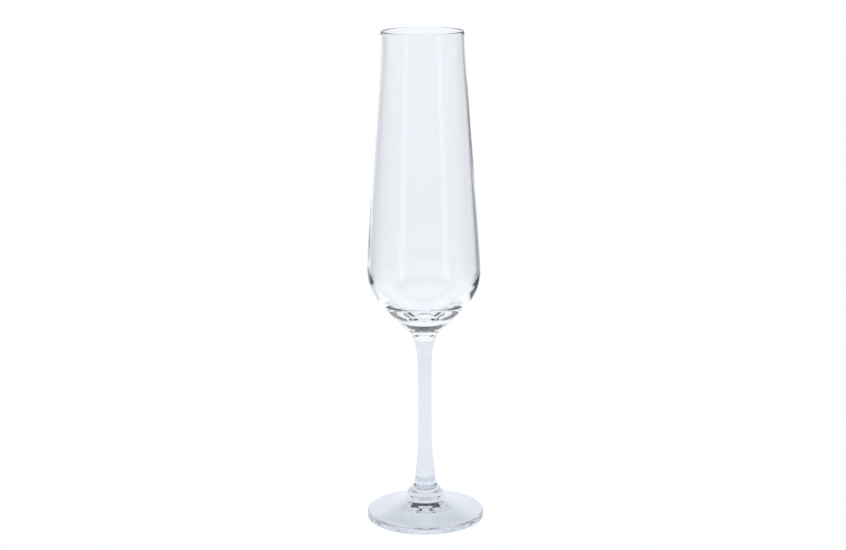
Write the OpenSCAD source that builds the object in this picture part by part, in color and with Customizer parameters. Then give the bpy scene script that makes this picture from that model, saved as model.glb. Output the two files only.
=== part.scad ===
// Champagne flute: a blown bowl, a solid drawn stem and a pressed foot, fused together hot.
// Every piece is turned about Z. The foot stands on z = 0 and the rim is at z = glass_h.

/* [Overall] */
// Height of the whole glass
glass_h = 250; // [240:1:270]
// Height of the weld between the foot and the stem
foot_weld_h = 18; // [16:0.5:20]
// Height of the weld between the stem and the bowl
bowl_weld_h = 94; // [90:0.5:100]

/* [Bowl] */
// Outer diameter at the rim
rim_d = 41.2; // [38:0.2:46]
// Wall thickness at the rim
rim_wall = 1.1; // [0.9:0.1:1.5]
// Outer diameter of the long wall where it leaves the belly
waist_d = 56; // [52:0.5:60]
// Height of that place above the weld
waist_rise = 48; // [44:1:52]
// Wall thickness there
waist_wall = 1.5; // [1.2:0.1:2.2]
// Lean of the long wall where it leaves the belly, in degrees
waist_lean = 3.7; // [3:0.1:6]
// Lean of the long wall at the rim, in degrees
rim_lean = 2.8; // [1:0.2:5]
// Outer diameter where the cone of the base turns up into the shoulder
shoulder_d = 48.2; // [46:0.2:50]
// Height of that place above the weld
shoulder_rise = 21.5; // [20:0.1:24]
// Angle of the wall there, up from level, in degrees
shoulder_angle = 53; // [50:1:60]
// Outer diameter where the cone of the base meets the flare of the neck
neck_d = 18; // [17:0.2:20]
// Height of that place above the weld
neck_rise = 5.8; // [5:0.1:7]
// Angle of the wall there, up from level, in degrees
neck_angle = 41; // [36:1:46]
// Solid glass between the weld and the floor of the bowl
floor_rise = 13.5; // [11:0.5:16]
// Height above the weld where the inside starts to round in towards its floor
inner_round_rise = 37.5; // [36:0.5:42]

/* [Stem] */
// Thinnest diameter of the stem
stem_d = 7; // [6:0.1:7.4]
// Height of the thinnest place above the foot weld
stem_thin_rise = 33; // [28:1:50]
// Diameter at the bowl weld
stem_top_d = 10.8; // [10:0.1:12]
// Angle of the surface at the bowl weld, up from level, in degrees
stem_top_angle = 76; // [66:1:80]
// Diameter at the foot weld
stem_foot_d = 11.6; // [11:0.1:12.4]
// Angle of the surface at the foot weld, up from level, in degrees
stem_foot_angle = 107; // [100:1:114]
// Rise of the domed upper end, which beds in the bowl's base
dome_rise = 1.2; // [0.6:0.1:1.6]
// Length of the lower end that is bedded in the foot's collar
spigot_l = 3.7; // [3:0.1:4.5]
// Rounding of the edge of that end
spigot_round = 1.6; // [1:0.1:2]

/* [Foot] */
// Outer diameter of the foot
foot_d = 60; // [56:0.5:66]
// Diameter of the collar round the stem, at its root
collar_d = 19.8; // [19:0.2:21]
// Height of the root of the collar
collar_root_h = 10.4; // [9.8:0.1:11]
// Thickness of the foot at its edge
edge_t = 3.6; // [3:0.1:4]
// Fall of the foot's top where it reaches the edge, in degrees
edge_fall = 14.5; // [10:0.5:18]
// Width of the flat ring that rests on the table
rest_w = 2; // [1.5:0.5:3]
// Hollow under the middle of the foot
underside_h = 4.4; // [3:0.1:5]

/* [Hidden] */
$fn = 96;
curve_steps = 24;          // straight pieces in one flowing curve
round_steps = 8;           // straight pieces in one small rounding
glass_tint = [0.84, 0.9, 0.94, 0.45];

glass_top = [rim_d / 2, glass_h - rim_wall / 2];
waist = [waist_d / 2, bowl_weld_h + waist_rise];
shoulder = [shoulder_d / 2, bowl_weld_h + shoulder_rise];
neck = [neck_d / 2, bowl_weld_h + neck_rise];
bowl_weld = [stem_top_d / 2, bowl_weld_h];
foot_weld = [stem_foot_d / 2, foot_weld_h];

inner_round_h = bowl_weld_h + inner_round_rise;
inner_round_r = waist[0] - waist_wall - 0.05;
floor_h = bowl_weld_h + floor_rise;

// The stem's flares end where its long, nearly straight middle starts
upper_flare = [stem_d / 2 + 0.25, bowl_weld_h - 9];
lower_flare = [stem_d / 2 + 1.2, foot_weld_h + 8.2];
upper_flare_angle = 87;
lower_flare_angle = 97.5;

// The collar spreads from the weld to its shoulder and drops steeply from there to its root
collar_shoulder = [collar_d / 2 - 1.7, collar_root_h + 4];
collar_root = [collar_d / 2, collar_root_h];
foot_top = [collar_d / 2 + 0.8, collar_root_h - 1];
collar_shoulder_fall = 36;
collar_root_fall = 75;
foot_top_fall = 34;
edge_r = foot_d / 2;
edge_round = 1.2;          // rounding between the edge and the sloping top
land_round = 0.6;          // rounding between the edge and the resting ring
rest_r = edge_r - land_round;
edge_centre = [edge_r - edge_round, edge_t - edge_round];

// A cubic curve from p to q that leaves p at angle a and reaches q at angle b, in degrees.
// Its handles are as long as those of an arc that turns as far.
function turn(a, b) = max(abs(b - a), 1);
function handle(p, a, q, b) = norm(q - p) * 2 / 3 * tan(turn(a, b) / 4) / sin(turn(a, b) / 2);
function ray(a, l) = l * [cos(a), sin(a)];
function blend(p0, p1, p2, p3, t) =
    pow(1 - t, 3) * p0 + 3 * pow(1 - t, 2) * t * p1 + 3 * (1 - t) * t * t * p2 + pow(t, 3) * p3;
function flow(p, a, q, b, steps = curve_steps) =
    let (l = handle(p, a, q, b))
    [for (i = [0:steps]) blend(p, p + ray(a, l), q - ray(b, l), q, i / steps)];

// The same points from the other end
function reversed(points) = [for (i = [len(points) - 1:-1:0]) points[i]];

// Points of an arc about c, from angle a to angle b
function arc(c, r, a, b, steps = round_steps) =
    [for (i = [0:steps]) c + ray(a + (b - a) * i / steps, r)];

// The two bedded faces, each from the axis outwards: both neighbours use the same points
dome_r = (pow(bowl_weld[0], 2) + pow(dome_rise, 2)) / (2 * dome_rise);
dome_half_angle = asin(bowl_weld[0] / dome_r);
dome_face = arc([0, bowl_weld_h + dome_rise - dome_r], dome_r, 90, 90 - dome_half_angle);
spigot_face = concat(
    [[0, foot_weld_h - spigot_l]],
    arc([foot_weld[0] - spigot_round, foot_weld_h - spigot_l + spigot_round], spigot_round, -90, 0),
    [foot_weld]
);

// Outside of the bowl, from the weld up to the rim
bowl_outside = concat(
    flow(bowl_weld, stem_top_angle, neck, neck_angle),
    flow(neck, neck_angle, shoulder, shoulder_angle),
    flow(shoulder, shoulder_angle, waist, 90 + waist_lean),
    flow(waist, 90 + waist_lean, glass_top, 90 + rim_lean)
);

// Inside of the bowl, from the rim down to the floor, where it is a quarter of an ellipse
inner_round_lean = waist_lean - 1;
bowl_inside = concat(
    flow(glass_top - [rim_wall, 0], 270 + rim_lean, [inner_round_r, inner_round_h], 270 + inner_round_lean),
    [for (i = [1:curve_steps])
        let (a = 90 * i / curve_steps)
        [inner_round_r * cos(a), inner_round_h - (inner_round_h - floor_h) * sin(a)]]
);

// Fire-polished lip, a half circle as wide as the wall
rim_lip = arc(glass_top - [rim_wall / 2, 0], rim_wall / 2, 0, 180);

module turned(outline) {
    rotate_extrude()
        polygon(outline);
}

// Blown bowl with a thick base, open at the top
module bowl() {
    color(glass_tint)
        turned(concat(dome_face, bowl_outside, rim_lip, bowl_inside));
}

// Solid stem with a domed upper end and a rounded lower end
module stem() {
    color(glass_tint)
        turned(concat(
            spigot_face,
            flow(foot_weld, stem_foot_angle, lower_flare, lower_flare_angle),
            flow(lower_flare, lower_flare_angle, [stem_d / 2, foot_weld_h + stem_thin_rise], 90),
            flow([stem_d / 2, foot_weld_h + stem_thin_rise], 90, upper_flare, upper_flare_angle),
            flow(upper_flare, upper_flare_angle, bowl_weld, stem_top_angle),
            reversed(dome_face)
        ));
}

// Pressed foot: collar, sloping top, rounded edge, resting ring and hollow underside
module foot() {
    color(glass_tint)
        turned(concat(
            flow([0, underside_h], 0, [rest_r - rest_w, 0], -8),
            [[rest_r, 0]],
            arc([rest_r, land_round], land_round, -90, 0),
            arc(edge_centre, edge_round, 0, 90 - edge_fall),
            reversed(flow(foot_top, -foot_top_fall, edge_centre + ray(90 - edge_fall, edge_round), -edge_fall)),
            reversed(flow(collar_root, -collar_root_fall, foot_top, -foot_top_fall, round_steps)),
            reversed(flow(collar_shoulder, -collar_shoulder_fall, collar_root, -collar_root_fall, round_steps)),
            reversed(flow(foot_weld, stem_foot_angle - 180, collar_shoulder, -collar_shoulder_fall, round_steps)),
            reversed(spigot_face)
        ));
}

bowl();
stem();
foot();
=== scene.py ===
"""Champagne flute: a blown bowl, a drawn stem and a pressed foot, fused together hot.

Each piece is a surface turned about Z: a closed outline of radius and height, carried round on a grid
of (place along the outline, angle about the axis), with the small ripples that hot glass keeps.
"""

import logging
import math
from dataclasses import dataclass
from enum import Enum

import bpy
import numpy as np
from mathutils import Matrix, Vector


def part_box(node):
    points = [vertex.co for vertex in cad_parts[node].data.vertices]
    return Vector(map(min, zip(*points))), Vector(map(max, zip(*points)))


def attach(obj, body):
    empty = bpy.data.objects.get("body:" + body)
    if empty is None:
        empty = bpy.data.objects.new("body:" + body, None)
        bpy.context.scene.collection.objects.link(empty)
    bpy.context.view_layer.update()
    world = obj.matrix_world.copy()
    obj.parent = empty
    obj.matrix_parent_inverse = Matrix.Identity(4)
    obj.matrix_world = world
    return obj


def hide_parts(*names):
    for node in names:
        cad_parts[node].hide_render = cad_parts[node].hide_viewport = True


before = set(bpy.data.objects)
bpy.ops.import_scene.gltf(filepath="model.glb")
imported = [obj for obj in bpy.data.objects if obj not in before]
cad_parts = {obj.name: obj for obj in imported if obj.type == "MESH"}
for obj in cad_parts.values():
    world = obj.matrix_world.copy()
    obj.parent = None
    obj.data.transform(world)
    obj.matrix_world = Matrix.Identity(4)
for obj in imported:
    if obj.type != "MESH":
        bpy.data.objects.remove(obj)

MM = 0.001
# Grid steps: round the axis, along one flowing curve, along one small rounding
TURN_SEGMENTS = 240
FLOW_STEPS = 56
ROUND_STEPS = 14
# Gap between two bedded faces, in millimetres, since faces in one place would swallow light
BEDDING = 0.01
# Height, distance from the weld and width of the swelling beside it, and width of its groove
SEAM_HEIGHT, SEAM_PLACE, SEAM_WIDTH, SEAM_GROOVE = 0.05, 0.7, 0.4, 0.35
# How often light may bend, and how often it may be mirrored, before it counts as swallowed by the glass
BENDINGS = 64
MIRRORINGS = 18

Pair = tuple[float, float]
Colour = tuple[float, float, float]
Finishes = list[bpy.types.Material]
Tree = bpy.types.NodeTree
Socket = bpy.types.NodeSocket

log = logging.getLogger("flute")


class Skin(Enum):
    """Which face of a piece a stretch of its outline is."""

    OUTSIDE = "outside"
    INSIDE = "inside"
    LIP = "lip"
    UNDERSIDE = "underside"
    WELD = "weld"


# ---------------------------------------------------------------- outlines


def ray(angle: float, length: float) -> np.ndarray:
    """Step of a given length at an angle in degrees, as (radius, height)."""
    return length * np.array([math.cos(math.radians(angle)), math.sin(math.radians(angle))])


def flow(start: Pair, leaving: float, end: Pair, arriving: float, steps: int = FLOW_STEPS) -> np.ndarray:
    """Cubic curve between two points, with its direction given at both.

    Formula: Bezier curve whose two handles are as long as those of a circular arc that turns as far,
    which is chord * 2/3 * tan(turn / 4) / sin(turn / 2).

    Args:
        start: first point, radius and height in millimetres.
        leaving: direction at the first point, in degrees up from level.
        end: last point.
        arriving: direction at the last point, in degrees.
        steps: number of straight pieces.

    Returns:
        Array of points, one row of radius and height each.
    """
    first, last = np.array(start, float), np.array(end, float)
    turning = math.radians(max(abs(arriving - leaving), 1.0))
    handle = np.linalg.norm(last - first) * 2 / 3 * math.tan(turning / 4) / math.sin(turning / 2)
    near, far = first + ray(leaving, handle), last - ray(arriving, handle)
    t = np.linspace(0.0, 1.0, steps + 1)[:, None]
    return (1 - t) ** 3 * first + 3 * (1 - t) ** 2 * t * near + 3 * (1 - t) * t**2 * far + t**3 * last


def arc(centre: Pair, radius: Pair, begin: float, finish: float, steps: int = ROUND_STEPS) -> np.ndarray:
    """Part of an ellipse about a centre: centre + (a cos angle, b sin angle).

    Args:
        centre: radius and height of the centre, in millimetres.
        radius: the half widths a, across, and b, up.
        begin: first angle, in degrees.
        finish: last angle.
        steps: number of straight pieces.

    Returns:
        Array of points.
    """
    angle = np.radians(np.linspace(begin, finish, steps + 1))
    return np.stack([centre[0] + radius[0] * np.cos(angle), centre[1] + radius[1] * np.sin(angle)], axis=1)


def smooth_step(value: np.ndarray, low: float, high: float) -> np.ndarray:
    """Rises from 0 at low to 1 at high along 3t^2 - 2t^3."""
    t = np.clip((value - low) / (high - low), 0.0, 1.0)
    return t * t * (3 - 2 * t)


def hump(value: np.ndarray, centre: float, width: float) -> np.ndarray:
    """Bell curve exp(-((value - centre) / width)^2)."""
    return np.exp(-(((value - centre) / width) ** 2))


@dataclass
class Outline:
    """Closed outline of a turned piece, from the axis, round its skin and back to the axis.

    Attributes:
        points: radius and height of each point, in millimetres.
        skins: the skin of the stretch that follows each point but the last.
    """

    points: np.ndarray
    skins: list[Skin]

    @classmethod
    def joined(cls, stretches: list[tuple[Skin, np.ndarray]]) -> "Outline":
        """Joins stretches end to end and drops the points that two of them share.

        Args:
            stretches: skin and points of each stretch, in order.

        Returns:
            The whole outline.
        """
        points = [stretches[0][1][:1]]
        skins: list[Skin] = []
        for skin, stretch in stretches:
            points.append(stretch[1:])
            skins += [skin] * (len(stretch) - 1)
        return cls(np.concatenate(points), skins)

    def normals(self) -> np.ndarray:
        """Outward normal at each point: the tangent by central difference, turned a quarter to its right.

        Returns:
            Array of unit vectors, one row of radius and height for each point.
        """
        tangent = np.gradient(self.points, axis=0)
        normal = np.stack([tangent[:, 1], -tangent[:, 0]], axis=1)
        return normal / np.linalg.norm(normal, axis=1, keepdims=True)

    def mask(self, *wanted: Skin) -> np.ndarray:
        """1 at the points that lie inside stretches of the wanted skins, 0 elsewhere and at their ends."""
        inside = np.array([skin in wanted for skin in self.skins])
        return np.concatenate([[False], inside[1:] & inside[:-1], [False]]).astype(float)


def around() -> np.ndarray:
    """Angles of the grid about the axis, in radians, from +X towards +Y."""
    return np.linspace(0.0, 2 * math.pi, TURN_SEGMENTS, endpoint=False)


def seam(outline: Outline, height: float) -> np.ndarray:
    """Slight swelling of the skin on both sides of a weld, which leaves the weld itself as a fine groove.

    Formula: SEAM_HEIGHT * hump(|h|, SEAM_PLACE, SEAM_WIDTH) * (1 - hump(h, 0, SEAM_GROOVE)), with h the
    height above the weld.

    Args:
        outline: outline of the piece.
        height: of the weld, in millimetres.

    Returns:
        Outward shift, one row for each outline point.
    """
    above = outline.points[:, 1] - height
    swelling = SEAM_HEIGHT * hump(np.abs(above), SEAM_PLACE, SEAM_WIDTH)
    swelling = swelling * (1 - hump(above, 0.0, SEAM_GROOVE))
    return (swelling * outline.mask(Skin.OUTSIDE))[:, None]


def turned_mesh(name: str, outline: Outline, relief: np.ndarray, finishes: Finishes) -> bpy.types.Object:
    """Carries an outline round the axis and closes it at its two poles.

    Formula: vertex (i, j) = (rho cos phi_j, rho sin phi_j, height), where (rho, height) is point i of the
    outline moved along its normal by relief (i, j). Both ends are single vertices on the axis.

    Args:
        name: name of the piece.
        outline: closed outline in millimetres, its two ends on the axis.
        relief: outward shift of every grid point, in millimetres, one row for each outline point.
        finishes: the glass, and the finish of the welded faces.

    Returns:
        The finished object, at the origin.
    """
    count, normal = len(outline.points), outline.normals()
    phi = around()
    rho = outline.points[:, :1] + relief * normal[:, :1]
    height = outline.points[:, 1:] + relief * normal[:, 1:]
    grid = np.stack([rho * np.cos(phi), rho * np.sin(phi), height], axis=2)[1:-1].reshape(-1, 3)
    poles = np.array([[0.0, 0.0, outline.points[0, 1]], [0.0, 0.0, outline.points[-1, 1]]])
    vertices = np.concatenate([poles[:1], grid, poles[1:]]) * MM

    here = np.arange(TURN_SEGMENTS)
    after = (here + 1) % TURN_SEGMENTS
    ring = 1 + TURN_SEGMENTS * np.arange(count - 2)[:, None]
    low, high = ring[:-1], ring[1:]
    quads = np.stack([low + here, low + after, high + after, high + here], axis=2).reshape(-1, 4)
    last = len(vertices) - 1
    first_fan = np.stack([np.zeros_like(here), 1 + after, 1 + here], axis=1)
    last_fan = np.stack([np.full_like(here, last), ring[-1] + here, ring[-1] + after], axis=1)
    faces = first_fan.tolist() + quads.tolist() + last_fan.tolist()

    mesh = bpy.data.meshes.new(name)
    mesh.from_pydata(vertices.tolist(), [], faces)
    mesh.polygons.foreach_set("use_smooth", np.ones(len(faces), bool))
    welded = np.array([skin is Skin.WELD for skin in outline.skins])
    mesh.polygons.foreach_set("material_index", np.repeat(welded.astype(np.int32), TURN_SEGMENTS))
    for finish in finishes:
        mesh.materials.append(finish)
    crease(mesh, 1 + TURN_SEGMENTS * np.flatnonzero(welded[1:] != welded[:-1]))
    mesh.update()
    piece = bpy.data.objects.new(name, mesh)
    bpy.context.scene.collection.objects.link(piece)
    return piece


def crease(mesh: bpy.types.Mesh, ring_starts: np.ndarray) -> None:
    """Marks the edges that run round the given rings as sharp, so that shading breaks there.

    Args:
        mesh: a turned mesh.
        ring_starts: index of the first vertex of each ring.
    """
    ends = np.empty(2 * len(mesh.edges), np.int32)
    mesh.edges.foreach_get("vertices", ends)
    ring_of = (ends.reshape(-1, 2) - 1) // TURN_SEGMENTS
    chosen = (ring_starts - 1) // TURN_SEGMENTS
    sharp = (ring_of[:, 0] == ring_of[:, 1]) & np.isin(ring_of[:, 0], chosen)
    mesh.attributes.new("sharp_edge", "BOOLEAN", "EDGE").data.foreach_set("value", sharp)


# ---------------------------------------------------------------- finishes


def link(tree: Tree, source: Socket, target: Socket) -> None:
    """Joins an output to an input."""
    tree.links.new(source, target)


@dataclass(frozen=True)
class ClearGlass:
    """Clear soda-lime glass with the faint waviness and haze of its making.

    Attributes:
        name: name of the material.
        tint: colour of light that has passed through one wall; on the stem and the foot it is partly
            painted shade.
        deepening: how much of the tint is left where the melt is a touch greener.
        grain: stretch of the waviness along X, Y and Z; a small Z draws it out up the piece.
        wave_scale: how many waves fit in a metre.
        wave_depth: height of the waves, in metres.
        haze: lowest and highest roughness of the surface.
        cloud: values of the cloudy noise between which the haze rises.
        refractive_index: of the glass.
    """

    name: str
    tint: Colour
    deepening: Colour = (0.98, 0.99, 0.99)
    grain: tuple[float, float, float] = (1.0, 1.0, 0.08)
    wave_scale: float = 90.0
    wave_depth: float = 0.00002
    haze: Pair = (0.0, 0.012)
    cloud: Pair = (0.45, 0.75)
    refractive_index: float = 1.52

    def material(self) -> bpy.types.Material:
        """Builds the node material: waves in the normal, cloudy haze in the roughness, melt in the tint.

        Returns:
            The material.
        """
        material = bpy.data.materials.new(self.name)
        material.use_nodes = True
        tree = material.node_tree
        shader = tree.nodes["Principled BSDF"]
        shader.inputs["Transmission Weight"].default_value = 1.0
        shader.inputs["IOR"].default_value = self.refractive_index
        place = tree.nodes.new("ShaderNodeTexCoord")
        stretch = tree.nodes.new("ShaderNodeMapping")
        stretch.inputs["Scale"].default_value = self.grain
        link(tree, place.outputs["Object"], stretch.inputs["Vector"])

        waves = tree.nodes.new("ShaderNodeTexNoise")
        waves.inputs["Scale"].default_value = self.wave_scale
        waves.inputs["Detail"].default_value = 2.0
        link(tree, stretch.outputs["Vector"], waves.inputs["Vector"])
        bump = tree.nodes.new("ShaderNodeBump")
        bump.inputs["Strength"].default_value = 1.0
        bump.inputs["Distance"].default_value = self.wave_depth
        link(tree, waves.outputs["Fac"], bump.inputs["Height"])
        link(tree, bump.outputs["Normal"], shader.inputs["Normal"])

        cloud = tree.nodes.new("ShaderNodeTexNoise")
        cloud.inputs["Scale"].default_value = self.wave_scale / 2
        cloud.inputs["Detail"].default_value = 3.0
        link(tree, place.outputs["Object"], cloud.inputs["Vector"])
        haze = tree.nodes.new("ShaderNodeMapRange")
        haze.inputs["From Min"].default_value = self.cloud[0]
        haze.inputs["From Max"].default_value = self.cloud[1]
        haze.inputs["To Min"].default_value = self.haze[0]
        haze.inputs["To Max"].default_value = self.haze[1]
        link(tree, cloud.outputs["Fac"], haze.inputs["Value"])
        link(tree, haze.outputs["Result"], shader.inputs["Roughness"])

        # Inputs 6 and 7 of a colour Mix node, and its output 2, carry the colours
        melt = tree.nodes.new("ShaderNodeMix")
        melt.data_type = "RGBA"
        deep = [share * left for share, left in zip(self.tint, self.deepening)]
        melt.inputs[6].default_value = (*self.tint, 1.0)
        melt.inputs[7].default_value = (*deep, 1.0)
        link(tree, cloud.outputs["Fac"], melt.inputs[0])
        link(tree, melt.outputs[2], shader.inputs["Base Color"])
        return material


@dataclass(frozen=True)
class FusedFace:
    """Face where two pieces have run together: light goes straight through it."""

    name: str = "fused_face"
    refractive_index: float = 1.0

    def material(self) -> bpy.types.Material:
        """Builds a fully clear material that neither bends nor reflects light.

        Returns:
            The material.
        """
        material = bpy.data.materials.new(self.name)
        material.use_nodes = True
        shader = material.node_tree.nodes["Principled BSDF"]
        shader.inputs["Transmission Weight"].default_value = 1.0
        shader.inputs["IOR"].default_value = self.refractive_index
        shader.inputs["Roughness"].default_value = 0.0
        shader.inputs["Base Color"].default_value = (1.0, 1.0, 1.0, 1.0)
        return material


BLOWN_GLASS = ClearGlass("bowl_glass", (0.972, 0.974, 0.978))
# The stem's and the foot's tints are far deeper than the bowl's. They are partly the faint colour of thick
# glass and partly painted shade, for the darker grey that these solid pieces show under the studio's
# light.
DRAWN_GLASS_AND_SHADE = ClearGlass("stem_glass", (0.785, 0.81, 0.85))
PRESSED_GLASS_AND_SHADE = ClearGlass("foot_glass", (0.72, 0.75, 0.795), haze=(0.01, 0.05), wave_depth=0.000005)


# ---------------------------------------------------------------- pieces


@dataclass
class Joint:
    """Radius and height of a weld, in millimetres, and the direction of the skin there, in degrees."""

    radius: float
    height: float
    angle: float

    def point(self) -> Pair:
        """The ring of the weld as an outline point."""
        return (self.radius, self.height)


@dataclass
class Bowl:
    """Blown bowl: long wall leaning in to the rim, round shoulder and thick base.

    Sizes are in millimetres and degrees. Places are pairs of radius and rise above the weld, and rises are
    above the weld too.

    Attributes:
        weld: ring where the bowl meets the stem.
        height: of the rim above the table.
        rim_radius: outer radius at the rim.
        rim_wall: thickness of the wall at the rim.
        rim_lean: lean of the wall at the rim.
        waist: place where the long wall leaves the belly.
        waist_wall: thickness of the wall there.
        waist_lean: lean of the wall there.
        shoulder: place where the cone of the base turns up.
        shoulder_angle: angle of the skin there, up from level.
        neck: place where the flare of the neck meets the cone.
        neck_angle: angle of the skin there, up from level.
        floor_rise: rise of the floor inside.
        inner_round_rise: rise where the inside starts to round in towards its floor.
        dome_rise: of the stem's domed end, which beds in the base.
        slow_wave: height of the four broad waves round the wall.
        quick_wave: height of the seven narrower ones.
        chill_height: height of the chill ripples.
        chill_pitch: distance from one to the next.
        chill_place: their rise and their angle about the axis, in radians.
        chill_size: reach of their patch along the rise and along the angle.
        nick_height: height of the nick.
        nick_place: its rise and its angle about the axis, in radians.
        nick_size: its reach along the rise and along the angle.
    """

    weld: Joint
    height: float
    rim_radius: float = 20.6
    rim_wall: float = 1.1
    rim_lean: float = 2.8
    waist: Pair = (28.0, 48.0)
    waist_wall: float = 1.5
    waist_lean: float = 3.7
    shoulder: Pair = (24.1, 21.5)
    shoulder_angle: float = 53.0
    neck: Pair = (9.0, 5.8)
    neck_angle: float = 41.0
    floor_rise: float = 13.5
    inner_round_rise: float = 37.5
    dome_rise: float = 1.2
    slow_wave: float = 0.03
    quick_wave: float = 0.012
    chill_height: float = 0.012
    chill_pitch: float = 2.0
    chill_place: Pair = (16.0, 3.8)
    chill_size: Pair = (4.0, 0.4)
    nick_height: float = 0.05
    nick_place: Pair = (67.0, math.pi)
    nick_size: Pair = (3.0, 0.06)

    def dome(self) -> np.ndarray:
        """Bedded face on the stem's end, from the axis outwards: cap of a sphere over the weld ring.

        Returns:
            Array of points.
        """
        radius = (self.weld.radius**2 + self.dome_rise**2) / (2 * self.dome_rise)
        half = math.degrees(math.asin(self.weld.radius / radius))
        centre = (0.0, self.weld.height + self.dome_rise - radius)
        return arc(centre, (radius, radius), 90.0, 90.0 - half)

    def raised(self, place: Pair) -> Pair:
        """Turns a rise above the weld into a height."""
        return (place[0], self.weld.height + place[1])

    def outside(self) -> np.ndarray:
        """Skin from the weld up to the lip: neck, cone of the base, shoulder and long wall.

        Returns:
            Array of points.
        """
        neck, shoulder, waist = self.raised(self.neck), self.raised(self.shoulder), self.raised(self.waist)
        top = (self.rim_radius, self.height - self.rim_wall / 2)
        return np.concatenate([
            flow(self.weld.point(), self.weld.angle, neck, self.neck_angle),
            flow(neck, self.neck_angle, shoulder, self.shoulder_angle)[1:],
            flow(shoulder, self.shoulder_angle, waist, 90.0 + self.waist_lean)[1:],
            flow(waist, 90.0 + self.waist_lean, top, 90.0 + self.rim_lean)[1:],
        ])

    def lip(self) -> np.ndarray:
        """Fire-polished edge, a half circle as wide as the wall."""
        half = self.rim_wall / 2
        return arc((self.rim_radius - half, self.height - half), (half, half), 0.0, 180.0)

    def inside(self) -> np.ndarray:
        """Skin from the lip down the wall, then a quarter ellipse in to the floor.

        Returns:
            Array of points.
        """
        top = (self.rim_radius - self.rim_wall, self.height - self.rim_wall / 2)
        turn = self.raised((self.waist[0] - self.waist_wall - 0.05, self.inner_round_rise))
        depth = self.inner_round_rise - self.floor_rise
        floor = arc((0.0, turn[1]), (turn[0], depth), 0.0, -90.0, FLOW_STEPS)
        return np.concatenate([flow(top, 270.0 + self.rim_lean, turn, 269.0 + self.waist_lean), floor[1:]])

    def patch(self, phi: np.ndarray, rise: np.ndarray, place: Pair, size: Pair) -> np.ndarray:
        """Bell curve about a place on the wall: hump along the rise times hump along the angle."""
        return hump(rise, place[0], size[0]) * hump(phi, place[1], size[1])

    def relief(self, outline: Outline) -> np.ndarray:
        """Unevenness of the blown wall, chill ripples low on its left and a nick of a bubble further up.

        Formula: with h the height above the weld and f the angle about the axis,
        wall = slow_wave * cos(4 f + h / 25 mm) + quick_wave * cos(7 f - h / 14 mm), rising from nothing at
        the weld and at the lip;
        chill = chill_height * sin(2 pi h / chill_pitch) in the patch about chill_place;
        nick = nick_height in the patch about nick_place.

        Args:
            outline: outline of the bowl.

        Returns:
            Outward shift of every grid point, in millimetres.
        """
        phi, rise = around(), outline.points[:, 1:] - self.weld.height
        below_lip = self.height - self.weld.height - rise
        wall = self.slow_wave * np.cos(4 * phi + rise / 25) + self.quick_wave * np.cos(7 * phi - rise / 14)
        wall *= smooth_step(rise, 3.0, 30.0) * smooth_step(below_lip, 1.0, 12.0)
        ripples = self.chill_height * np.sin(2 * math.pi / self.chill_pitch * rise)
        chill = ripples * self.patch(phi, rise, self.chill_place, self.chill_size)
        nick = self.nick_height * self.patch(phi, rise, self.nick_place, self.nick_size)
        both, outer = outline.mask(Skin.OUTSIDE, Skin.INSIDE), outline.mask(Skin.OUTSIDE)
        return wall * both[:, None] + (chill + nick) * outer[:, None]

    def build(self, finishes: Finishes) -> bpy.types.Object:
        """Builds the bowl.

        Args:
            finishes: the glass, and the finish of the welded face.

        Returns:
            The bowl.
        """
        outline = Outline.joined([
            (Skin.WELD, self.dome()),
            (Skin.OUTSIDE, self.outside()),
            (Skin.LIP, self.lip()),
            (Skin.INSIDE, self.inside()),
        ])
        relief = self.relief(outline) + seam(outline, self.weld.height)
        return turned_mesh("flute_bowl", outline, relief, finishes)


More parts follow.
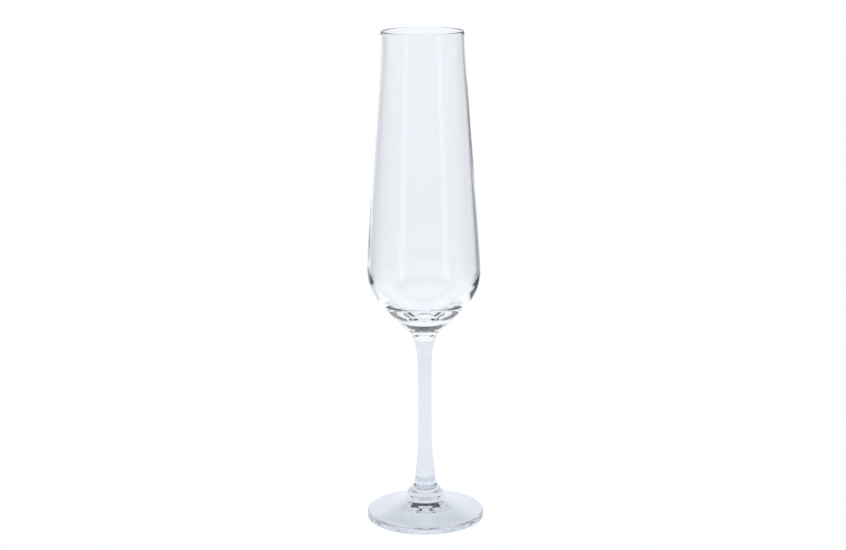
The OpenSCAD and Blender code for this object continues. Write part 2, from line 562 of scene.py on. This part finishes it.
@dataclass
class Stem:
    """Solid drawn stem, flared at both ends, domed on top and rounded at the plug below.

    Sizes are in millimetres and degrees.

    Attributes:
        top: ring where the stem meets the bowl.
        bottom: ring where it meets the foot.
        dome: points of the bowl's bedded face.
        radius: at the thinnest place.
        thin_rise: of that place above the foot weld.
        upper_flare: radius and rise, from the bowl weld, where the upper flare ends.
        upper_flare_angle: angle of the skin there, up from level.
        lower_flare: radius and rise, from the foot weld, where the lower flare ends.
        lower_flare_angle: angle of the skin there, up from level.
        plug_length: length of the end bedded in the foot.
        plug_round: rounding of that end's edge.
        draw_lines: heights of the three broad and the eight narrow draw lines.
    """

    top: Joint
    bottom: Joint
    dome: np.ndarray
    radius: float = 3.5
    thin_rise: float = 33.0
    upper_flare: Pair = (3.75, -9.0)
    upper_flare_angle: float = 87.0
    lower_flare: Pair = (4.7, 8.2)
    lower_flare_angle: float = 97.5
    plug_length: float = 3.7
    plug_round: float = 1.6
    draw_lines: Pair = (0.012, 0.006)

    def plug(self) -> np.ndarray:
        """Face bedded in the foot, from the axis outwards: flat end, rounded edge and side.

        Returns:
            Array of points.
        """
        low = self.bottom.height - self.plug_length
        centre = (self.bottom.radius - self.plug_round, low + self.plug_round)
        flat = np.linspace([0.0, low], [centre[0], low], ROUND_STEPS // 2)
        edge = arc(centre, (self.plug_round, self.plug_round), -90.0, 0.0)
        return np.concatenate([flat, edge[1:], [self.bottom.point()]])

    def outside(self) -> np.ndarray:
        """Skin from the foot weld up to the bowl weld.

        Returns:
            Array of points.
        """
        lower = (self.lower_flare[0], self.bottom.height + self.lower_flare[1])
        upper = (self.upper_flare[0], self.top.height + self.upper_flare[1])
        thin = (self.radius, self.bottom.height + self.thin_rise)
        return np.concatenate([
            flow(self.bottom.point(), self.bottom.angle, lower, self.lower_flare_angle),
            flow(lower, self.lower_flare_angle, thin, 90.0)[1:],
            flow(thin, 90.0, upper, self.upper_flare_angle)[1:],
            flow(upper, self.upper_flare_angle, self.top.point(), self.top.angle)[1:],
        ])

    def relief(self, outline: Outline) -> np.ndarray:
        """Long draw lines that wind slowly up the stem, and the bedding gap at both its ends.

        Formula: with h the height above the foot weld and f the angle about the axis,
        broad * cos(3 f + h / 9 mm) + narrow * cos(8 f - h / 6 mm), from nothing at both welds.

        Args:
            outline: outline of the stem.

        Returns:
            Outward shift of every grid point, in millimetres.
        """
        phi, rise = around(), outline.points[:, 1:] - self.bottom.height
        length = self.top.height - self.bottom.height
        broad, narrow = self.draw_lines
        lines = broad * np.cos(3 * phi + rise / 9) + narrow * np.cos(8 * phi - rise / 6)
        lines *= smooth_step(rise, 1.0, 6.0) * smooth_step(length - rise, 1.0, 6.0)
        return lines * outline.mask(Skin.OUTSIDE)[:, None] - BEDDING * outline.mask(Skin.WELD)[:, None]

    def build(self, finishes: Finishes) -> bpy.types.Object:
        """Builds the stem.

        Args:
            finishes: the glass, and the finish of the welded faces.

        Returns:
            The stem.
        """
        outline = Outline.joined([
            (Skin.WELD, self.plug()),
            (Skin.OUTSIDE, self.outside()),
            (Skin.WELD, self.dome[::-1]),
        ])
        relief = self.relief(outline) + seam(outline, self.bottom.height) + seam(outline, self.top.height)
        return turned_mesh("flute_stem", outline, relief, finishes)


@dataclass
class Foot:
    """Pressed foot: collar, sloping top, rounded edge, resting ring and hollow underside.

    Sizes are in millimetres and degrees.

    Attributes:
        weld: ring where the foot meets the stem.
        radius: of the foot.
        plug: points of the stem's bedded end.
        collar_radius: of the collar at its root.
        collar_root: height of the collar's root.
        root_fall: fall of the collar's side at its root.
        swell: how far the collar's swell lies inwards of its root, and above it.
        swell_fall: fall of the skin on the swell.
        toe: how far the toe of the collar lies outwards of its root, and below it.
        top_fall: fall of the top where it leaves the toe.
        edge_fall: fall of the top where it reaches the edge.
        edge_thickness: thickness of the foot at its edge.
        edge_round: rounding between the edge and the top.
        rest_width: width of the flat ring that rests on the table.
        land_round: rounding between the edge and the resting ring.
        underside_rise: hollow under the middle.
        ring_height: height of the settle rings next to the collar.
        ring_pitch: distance from one ring to the next.
        ring_reach: distance over which they sink to a third or so.
    """

    weld: Joint
    radius: float
    plug: np.ndarray
    collar_radius: float = 9.9
    collar_root: float = 10.4
    root_fall: float = 75.0
    swell: Pair = (1.7, 4.0)
    swell_fall: float = 36.0
    toe: Pair = (0.8, 1.0)
    top_fall: float = 34.0
    edge_fall: float = 14.5
    edge_thickness: float = 3.6
    edge_round: float = 1.2
    rest_width: float = 2.0
    land_round: float = 0.6
    underside_rise: float = 4.4
    ring_height: float = 0.05
    ring_pitch: float = 1.7
    ring_reach: float = 7.0

    def underside(self) -> np.ndarray:
        """Hollow under the middle and the flat ring that rests on the table.

        Returns:
            Array of points.
        """
        outer = self.radius - self.land_round
        hollow = flow((0.0, self.underside_rise), 0.0, (outer - self.rest_width, 0.0), -8.0)
        land = np.linspace([outer - self.rest_width, 0.0], [outer, 0.0], ROUND_STEPS // 2)
        return np.concatenate([hollow, land[1:]])

    def edge(self) -> np.ndarray:
        """Rounded edge, from the resting ring to the start of the top.

        Returns:
            Array of points.
        """
        low = arc((self.radius - self.land_round, self.land_round), (self.land_round,) * 2, -90.0, 0.0)
        centre = (self.radius - self.edge_round, self.edge_thickness - self.edge_round)
        high = arc(centre, (self.edge_round,) * 2, 0.0, 90.0 - self.edge_fall)
        return np.concatenate([low, high])

    def top(self) -> np.ndarray:
        """Skin from the edge up to the weld: sloping top, root of the collar, its swell and its waist.

        Returns:
            Array of points.
        """
        start = tuple(self.edge()[-1])
        root = (self.collar_radius, self.collar_root)
        toe = (self.collar_radius + self.toe[0], self.collar_root - self.toe[1])
        swell = (self.collar_radius - self.swell[0], self.collar_root + self.swell[1])
        waist, waist_fall = self.weld.point(), self.weld.angle - 180.0
        return np.concatenate([
            flow(toe, -self.top_fall, start, -self.edge_fall, 2 * FLOW_STEPS)[::-1],
            flow(root, -self.root_fall, toe, -self.top_fall, ROUND_STEPS)[::-1][1:],
            flow(swell, -self.swell_fall, root, -self.root_fall, ROUND_STEPS)[::-1][1:],
            flow(waist, waist_fall, swell, -self.swell_fall, ROUND_STEPS)[::-1][1:],
        ])

    def relief(self, outline: Outline) -> np.ndarray:
        """Rings that the pressed glass settles into on the foot's top, strongest next to the collar.

        Formula: with r the radius and f the angle about the axis,
        ring_height * exp(-(r - 11 mm) / ring_reach) * sin(2 pi r / ring_pitch) * (1 + 0.3 cos(2 f + 0.8)),
        from nothing at the root of the collar and at the edge.

        Args:
            outline: outline of the foot.

        Returns:
            Outward shift of every grid point, in millimetres.
        """
        radius = outline.points[:, :1]
        rings = self.ring_height * np.exp(-(radius - 11.0) / self.ring_reach)
        rings = rings * np.sin(2 * math.pi * radius / self.ring_pitch)
        rings = rings * smooth_step(radius, 10.9, 12.0) * (1 - smooth_step(radius, 22.0, 27.0))
        return rings * (1 + 0.3 * np.cos(2 * around() + 0.8)) * outline.mask(Skin.OUTSIDE)[:, None]

    def build(self, finishes: Finishes) -> bpy.types.Object:
        """Builds the foot.

        Args:
            finishes: the glass, and the finish of the welded face.

        Returns:
            The foot.
        """
        outline = Outline.joined([
            (Skin.UNDERSIDE, self.underside()),
            (Skin.OUTSIDE, self.edge()),
            (Skin.OUTSIDE, self.top()),
            (Skin.WELD, self.plug[::-1]),
        ])
        relief = self.relief(outline) + seam(outline, self.weld.height)
        return turned_mesh("flute_foot", outline, relief, finishes)


# ---------------------------------------------------------------- studio


@dataclass
class Studio:
    """Glowing table and sweep, dimmer in front, with a soft box overhead and two strip lights.

    Light that the glass only bends sees an even white. Light that it mirrors, on its skin or inside it,
    sees the sweep, the soft box and the dimmer parts between them.

    Attributes:
        floor_half: half the width of the table, in metres.
        floor_drop: how far the table lies below the resting ring, in metres.
        glow: light of the table and the sweep, a little past white and a little cool.
        table_dim: light of the table where it is dimmest, as a share of the glow.
        front: light of the sweep in front of the glass, as a share of the glow.
        gap: light between the top of the sweep and the soft box, as a share of the glow.
        sweep_top: elevations between which the sweep ends, in degrees.
        soft_box: elevations between which the soft box overhead begins, in degrees.
        table_near: distances from the axis between which the table falls dim, in metres.
        table_behind: bearings, as a cosine from straight behind, between which it is bright again.
        sweep_behind: the same for the sweep.
        skirt: elevations between which a dark skirt round the front of the table ends, in degrees.
        aim: bearing of the brightest part of the table and the sweep, in degrees right of straight behind.
        strip_turn: how far to each side of the front the strip lights stand, in degrees.
        strip_distance: of the strip lights from the axis, in metres.
        strip_size: width and height of a strip light, in metres.
        strip_power: of a strip light, in watts.
    """

    floor_half: float = 6.0
    floor_drop: float = 0.0002
    glow: Colour = (1.0, 1.02, 1.07)
    table_dim: float = 0.36
    front: float = 0.6
    gap: float = 0.05
    sweep_top: Pair = (24.0, 38.0)
    soft_box: Pair = (54.0, 60.0)
    table_near: Pair = (0.2, 0.4)
    table_behind: Pair = (0.75, 0.985)
    sweep_behind: Pair = (-0.5, 0.85)
    skirt: Pair = (0.0, 2.5)
    aim: float = -8.0
    strip_turn: float = 44.0
    strip_distance: float = 0.5
    strip_size: Pair = (0.11, 1.6)
    strip_power: float = 0.6

    def fade(self, tree: Tree, value: Socket, ends: Pair, shares: Pair) -> Socket:
        """Share that goes smoothly from shares[0] at ends[0] to shares[1] at ends[1].

        Args:
            tree: the tree to add to.
            value: what the share follows.
            ends: values between which it changes.
            shares: the share at each end.

        Returns:
            The output that carries the share.
        """
        node = tree.nodes.new("ShaderNodeMapRange")
        node.interpolation_type = "SMOOTHSTEP"
        for socket, number in zip(("From Min", "From Max", "To Min", "To Max"), (*ends, *shares)):
            node.inputs[socket].default_value = number
        link(tree, value, node.inputs["Value"])
        return node.outputs["Result"]

    def combine(self, tree: Tree, operation: str, *values: Socket) -> Socket:
        """Applies a Math operation to two outputs.

        Args:
            tree: the tree to add to.
            operation: name of the operation.
            values: the outputs.

        Returns:
            The result.
        """
        node = tree.nodes.new("ShaderNodeMath")
        node.operation = operation
        for value, socket in zip(values, node.inputs):
            link(tree, value, socket)
        return node.outputs[0]

    def even_unless_mirrored(self, tree: Tree, share: Socket, target: bpy.types.Node, lead: float) -> None:
        """Lights a shader with the glow, cut down to a share for light that was mirrored on its way.

        A path that was mirrored has more bounces than transmissions.

        Args:
            tree: the tree to add to.
            share: share of the glow that mirrored light finds.
            target: Emission or Background node.
            lead: how many bounces the ray depth starts with, which is one for the world.
        """
        path = tree.nodes.new("ShaderNodeLightPath")
        depths = path.outputs["Ray Depth"], path.outputs["Transmission Depth"]
        mirrored = self.combine(tree, "SUBTRACT", *depths)
        beyond = tree.nodes.new("ShaderNodeMapRange")
        beyond.inputs["From Min"].default_value = lead
        beyond.inputs["From Max"].default_value = lead + 1.0
        link(tree, mirrored, beyond.inputs["Value"])
        # Inputs 2 and 3 of a plain Mix node, and its output 0, carry the numbers
        strength = tree.nodes.new("ShaderNodeMix")
        strength.inputs[2].default_value = 1.0
        link(tree, beyond.outputs["Result"], strength.inputs[0])
        link(tree, share, strength.inputs[3])
        target.inputs["Color"].default_value = (*self.glow, 1.0)
        link(tree, strength.outputs[0], target.inputs["Strength"])

    def towards(self, tree: Tree, place: Socket) -> Socket:
        """How far a place or direction reaches along the aim.

        Args:
            tree: the tree to add to.
            place: the place or direction.

        Returns:
            Its dot product with the aim's unit vector.
        """
        node = tree.nodes.new("ShaderNodeVectorMath")
        node.operation = "DOT_PRODUCT"
        link(tree, place, node.inputs[0])
        turn = math.radians(self.aim)
        node.inputs[1].default_value = (math.sin(turn), math.cos(turn), 0.0)
        return node.outputs["Value"]

    def table(self) -> bpy.types.Object:
        """Makes the glowing table, dim towards the front for mirrored light.

        Returns:
            The table.
        """
        half, low = self.floor_half, -self.floor_drop
        mesh = bpy.data.meshes.new("floor")
        square = [(-half, -half, low), (half, -half, low), (half, half, low), (-half, half, low)]
        mesh.from_pydata(square, [], [(0, 1, 2, 3)])
        floor = bpy.data.objects.new("floor", mesh)
        bpy.context.scene.collection.objects.link(floor)
        # Painted light: the table does not take light, it glows. It glows evenly for light that the glass
        # only bends, and dimmer towards the front for mirrored light.
        material = bpy.data.materials.new("floor_glow")
        material.use_nodes = True
        tree = material.node_tree
        tree.nodes.remove(tree.nodes["Principled BSDF"])
        glow = tree.nodes.new("ShaderNodeEmission")
        link(tree, glow.outputs[0], tree.nodes["Material Output"].inputs["Surface"])
        place = tree.nodes.new("ShaderNodeTexCoord")
        reach = tree.nodes.new("ShaderNodeVectorMath")
        reach.operation = "LENGTH"
        link(tree, place.outputs["Object"], reach.inputs[0])
        near = self.fade(tree, reach.outputs["Value"], self.table_near, (1.0, self.table_dim))
        ahead = self.towards(tree, place.outputs["Object"])
        bearing = self.combine(tree, "DIVIDE", ahead, reach.outputs["Value"])
        behind = self.fade(tree, bearing, self.table_behind, (self.table_dim, 1.0))
        share = self.combine(tree, "MAXIMUM", near, behind)
        self.even_unless_mirrored(tree, share, glow, 0.0)
        mesh.materials.append(material)
        return floor

    def sky(self) -> None:
        """Lights the world: sweep low down behind, dim above and in front of it, soft box overhead."""
        world = bpy.data.worlds.new("studio")
        bpy.context.scene.world = world
        world.use_nodes = True
        tree = world.node_tree
        place = tree.nodes.new("ShaderNodeTexCoord")
        axes = tree.nodes.new("ShaderNodeSeparateXYZ")
        link(tree, place.outputs["Generated"], axes.inputs[0])
        bands = (self.sweep_top, self.soft_box, self.skirt)
        heights = [tuple(math.sin(math.radians(angle)) for angle in ends) for ends in bands]
        low = self.fade(tree, axes.outputs["Z"], heights[0], (1.0, self.gap))
        ahead = self.towards(tree, place.outputs["Generated"])
        behind = self.fade(tree, ahead, self.sweep_behind, (self.front, 1.0))
        over = self.fade(tree, axes.outputs["Z"], heights[2], (0.0, 1.0))
        level = self.combine(tree, "MAXIMUM", behind, over)
        above = self.fade(tree, axes.outputs["Z"], heights[1], (0.0, 1.0))
        share = self.combine(tree, "MAXIMUM", self.combine(tree, "MULTIPLY", low, level), above)
        self.even_unless_mirrored(tree, share, tree.nodes["Background"], 1.0)

    def strips(self) -> None:
        """Stands two tall strip lights in front, one to each side, which show only as reflections."""
        for side in (-1, 1):
            light = bpy.data.lights.new("strip_light", "AREA")
            light.shape = "RECTANGLE"
            light.size, light.size_y = self.strip_size
            light.energy = self.strip_power
            light.color = self.glow
            strip = bpy.data.objects.new("strip_light", light)
            around_axis = Matrix.Rotation(side * math.radians(self.strip_turn), 4, "Z")
            outwards = Matrix.Translation((0.0, -self.strip_distance, 0.0))
            upright = Matrix.Rotation(math.radians(90.0), 4, "X")
            strip.matrix_world = around_axis @ outwards @ upright
            strip.visible_camera = False
            strip.visible_transmission = False
            bpy.context.scene.collection.objects.link(strip)


@dataclass
class Viewpoint:
    """Camera on a stand in front of the glass, looking a little down at it.

    Attributes:
        distance: from the axis, in metres.
        height: above the floor, in metres.
        pitch: how far it looks down, in degrees.
        roll: turn about its own line of sight, in degrees.
        lens: focal length for a sensor 36 mm wide, in millimetres.
        aside: how far it stands to the left of the axis, in metres.
    """

    distance: float = 0.917
    height: float = 0.3377
    pitch: float = 12.915
    roll: float = 0.38
    lens: float = 79.5
    aside: float = 0.0005

    def place(self) -> None:
        """Makes the camera and makes it the scene's."""
        data = bpy.data.cameras.new("camera")
        data.lens = self.lens
        data.sensor_width = 36.0
        data.clip_start = 0.01
        camera = bpy.data.objects.new("camera", data)
        bpy.context.scene.collection.objects.link(camera)
        look = Matrix.Rotation(math.radians(90.0 - self.pitch), 4, "X")
        lean = Matrix.Rotation(math.radians(-self.roll), 4, "Z")
        camera.matrix_world = Matrix.Translation((-self.aside, -self.distance, self.height)) @ look @ lean
        bpy.context.scene.camera = camera


def main() -> None:
    """Builds the glass, the studio and the camera, and reports each piece."""
    logging.basicConfig(level=logging.INFO, format="%(name)s: %(message)s")
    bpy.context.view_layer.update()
    bowl_low, bowl_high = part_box("bowl")
    foot_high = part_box("foot")[1]

    bowl_weld = Joint(radius=5.4, height=bowl_low.z / MM, angle=76.0)
    foot_weld = Joint(radius=5.8, height=foot_high.z / MM, angle=107.0)
    bowl = Bowl(bowl_weld, bowl_high.z / MM)
    stem = Stem(bowl_weld, foot_weld, bowl.dome())
    foot = Foot(foot_weld, foot_high.x / MM, stem.plug())

    fused = FusedFace().material()
    pieces = {
        "bowl": bowl.build([BLOWN_GLASS.material(), fused]),
        "stem": stem.build([DRAWN_GLASS_AND_SHADE.material(), fused]),
        "foot": foot.build([PRESSED_GLASS_AND_SHADE.material(), fused]),
    }
    for node, piece in pieces.items():
        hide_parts(node)
        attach(piece, "root")
        log.info("%s: %d faces, stands for %s", piece.name, len(piece.data.polygons), node)

    studio = Studio()
    studio.table()
    studio.sky()
    studio.strips()
    Viewpoint().place()

    scene = bpy.context.scene
    scene.view_settings.view_transform = "Standard"
    scene.cycles.max_bounces = BENDINGS
    scene.cycles.transmission_bounces = BENDINGS
    scene.cycles.glossy_bounces = MIRRORINGS


if __name__ == "__main__":
    main()
